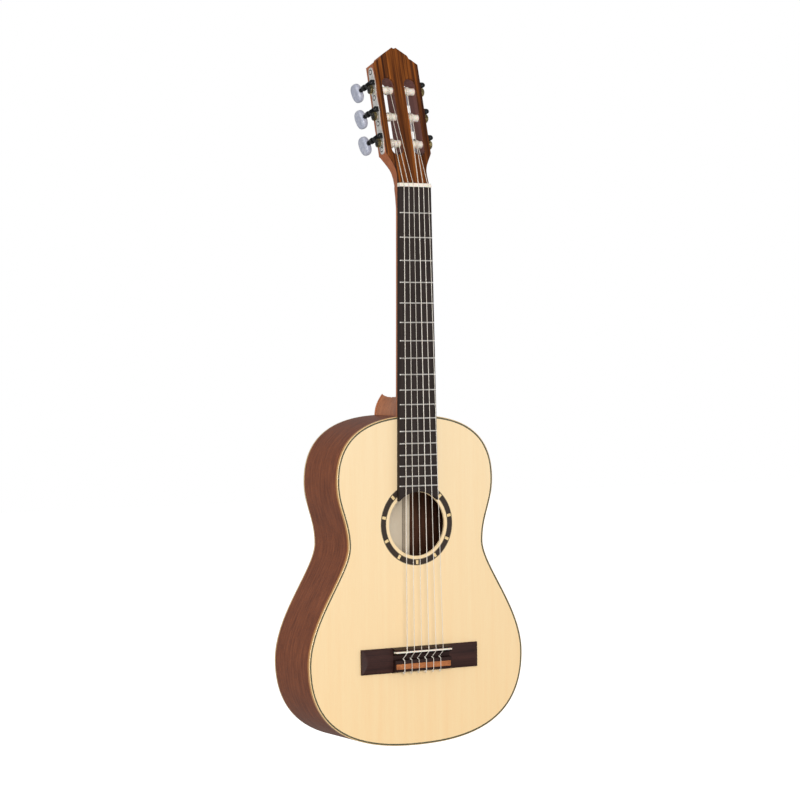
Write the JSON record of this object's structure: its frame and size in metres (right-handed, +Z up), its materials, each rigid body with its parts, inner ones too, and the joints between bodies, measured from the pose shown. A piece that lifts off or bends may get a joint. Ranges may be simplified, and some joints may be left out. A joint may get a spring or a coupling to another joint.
{
  "type": "classical guitar",
  "caption": "Small-bodied classical guitar with slotted headstock, open-geared machine heads, nylon-type strings, tie bridge and braced hollow body.",
  "frame": {"origin": "on the centre line, on the glue plane under the fingerboard, at the edge of the nut where the open strings begin; a yoke hanger cradles the neck here, under the headstock's flare", "axes": "+Z up the neck from the body towards the headstock, -Y out of the soundboard towards the listener, +X towards the treble strings"},
  "size_m": [0.315, 0.1118, 0.8978],
  "materials": {
    "spruce": "clear gloss lacquer over fine straight grain",
    "mahogany": "clear gloss lacquer over red-brown mahogany",
    "neck_mahogany": "satin lacquer over orange-brown mahogany",
    "rosewood": "satin lacquer",
    "fingerboard_rosewood": "oiled, unlacquered",
    "bridge_rosewood": "oiled, unlacquered",
    "rosette_wood": "clear gloss lacquer over dark and light rings",
    "binding_wood": "clear gloss lacquer over orange-brown wood",
    "brace_wood": "bare planed wood",
    "bone": "polished, ivory coloured",
    "nylon": "clear and smooth",
    "wound_string": "silver-plated winding",
    "plated_steel": "nickel plate",
    "roller_plastic": "ivory coloured",
    "gear_brass": "aged brass",
    "black_steel": "black gloss",
    "pearl": "pearly, cool white"
  },
  "bodies": {
    "guitar": {"neck": "neck_mahogany", "headplate": "rosewood", "fingerboard": "fingerboard_rosewood", "nut": "bone", "soundboard": "spruce", "rosette": "rosette_wood", "back": "mahogany", "side_bass": "mahogany", "side_treble": "mahogany", "binding_top": "binding_wood", "binding_back": "binding_wood", "lining_top_bass": "brace_wood", "lining_top_treble": "brace_wood", "lining_back_bass": "brace_wood", "lining_back_treble": "brace_wood", "tail_block": "brace_wood", "heel_cap": "rosewood", "transverse_brace_upper": "brace_wood", "transverse_brace_lower": "brace_wood", "fan_brace_1": "brace_wood", "fan_brace_2": "brace_wood", "fan_brace_3": "brace_wood", "back_brace_1": "brace_wood", "back_brace_2": "brace_wood", "back_brace_3": "brace_wood", "bridge": "bridge_rosewood", "saddle": "bone", "tie_block_inlay": "binding_wood", "string_1": "nylon", "string_2": "nylon", "string_3": "nylon", "string_4": "wound_string", "string_5": "wound_string", "string_6": "wound_string", "tuner_plate_bass": "plated_steel", "tuner_plate_treble": "plated_steel"},
    "peg_1": {"worm_shaft_1": "black_steel", "button_1": "pearl"},
    "roller_1": {"string_roller_1": "roller_plastic", "gear_1": "gear_brass"},
    "peg_2": {"worm_shaft_2": "black_steel", "button_2": "pearl"},
    "roller_2": {"string_roller_2": "roller_plastic", "gear_2": "gear_brass"},
    "peg_3": {"worm_shaft_3": "black_steel", "button_3": "pearl"},
    "roller_3": {"string_roller_3": "roller_plastic", "gear_3": "gear_brass"},
    "peg_4": {"worm_shaft_4": "black_steel", "button_4": "pearl"},
    "roller_4": {"string_roller_4": "roller_plastic", "gear_4": "gear_brass"},
    "peg_5": {"worm_shaft_5": "black_steel", "button_5": "pearl"},
    "roller_5": {"string_roller_5": "roller_plastic", "gear_5": "gear_brass"},
    "peg_6": {"worm_shaft_6": "black_steel", "button_6": "pearl"},
    "roller_6": {"string_roller_6": "roller_plastic", "gear_6": "gear_brass"}
  },
  "joints": [
    {"name": "peg_1_turn", "type": "hinge", "parent": "guitar", "child": "peg_1", "pos_m": [0.0378, 0.0236, 0.06482], "axis": [0, 0.9659, -0.2588], "continuous": true},
    {"name": "roller_1_turn", "type": "hinge", "parent": "guitar", "child": "roller_1", "pos_m": [0.0378, 0.02151, 0.05705], "axis": [1, 0, 0], "continuous": true},
    {"name": "peg_2_turn", "type": "hinge", "parent": "guitar", "child": "peg_2", "pos_m": [0.0378, 0.03296, 0.09979], "axis": [0, 0.9659, -0.2588], "continuous": true},
    {"name": "roller_2_turn", "type": "hinge", "parent": "guitar", "child": "roller_2", "pos_m": [0.0378, 0.03088, 0.09201], "axis": [1, 0, 0], "continuous": true},
    {"name": "peg_3_turn", "type": "hinge", "parent": "guitar", "child": "peg_3", "pos_m": [0.0378, 0.04233, 0.13476], "axis": [0, 0.9659, -0.2588], "continuous": true},
    {"name": "roller_3_turn", "type": "hinge", "parent": "guitar", "child": "roller_3", "pos_m": [0.0378, 0.04025, 0.12698], "axis": [1, 0, 0], "continuous": true},
    {"name": "peg_4_turn", "type": "hinge", "parent": "guitar", "child": "peg_4", "pos_m": [-0.0378, 0.04233, 0.13476], "axis": [0, 0.9659, -0.2588], "continuous": true},
    {"name": "roller_4_turn", "type": "hinge", "parent": "guitar", "child": "roller_4", "pos_m": [-0.0378, 0.04025, 0.12698], "axis": [1, 0, 0], "continuous": true},
    {"name": "peg_5_turn", "type": "hinge", "parent": "guitar", "child": "peg_5", "pos_m": [-0.0378, 0.03296, 0.09979], "axis": [0, 0.9659, -0.2588], "continuous": true},
    {"name": "roller_5_turn", "type": "hinge", "parent": "guitar", "child": "roller_5", "pos_m": [-0.0378, 0.03088, 0.09201], "axis": [1, 0, 0], "continuous": true},
    {"name": "peg_6_turn", "type": "hinge", "parent": "guitar", "child": "peg_6", "pos_m": [-0.0378, 0.0236, 0.06482], "axis": [0, 0.9659, -0.2588], "continuous": true},
    {"name": "roller_6_turn", "type": "hinge", "parent": "guitar", "child": "roller_6", "pos_m": [-0.0378, 0.02151, 0.05705], "axis": [1, 0, 0], "continuous": true}
  ],
  "couplings": [
    {"joint": "roller_1_turn", "follows": "peg_1_turn", "ratio": 0.071429},
    {"joint": "roller_2_turn", "follows": "peg_2_turn", "ratio": 0.071429},
    {"joint": "roller_3_turn", "follows": "peg_3_turn", "ratio": 0.071429},
    {"joint": "roller_4_turn", "follows": "peg_4_turn", "ratio": 0.071429},
    {"joint": "roller_5_turn", "follows": "peg_5_turn", "ratio": 0.071429},
    {"joint": "roller_6_turn", "follows": "peg_6_turn", "ratio": 0.071429}
  ]
}
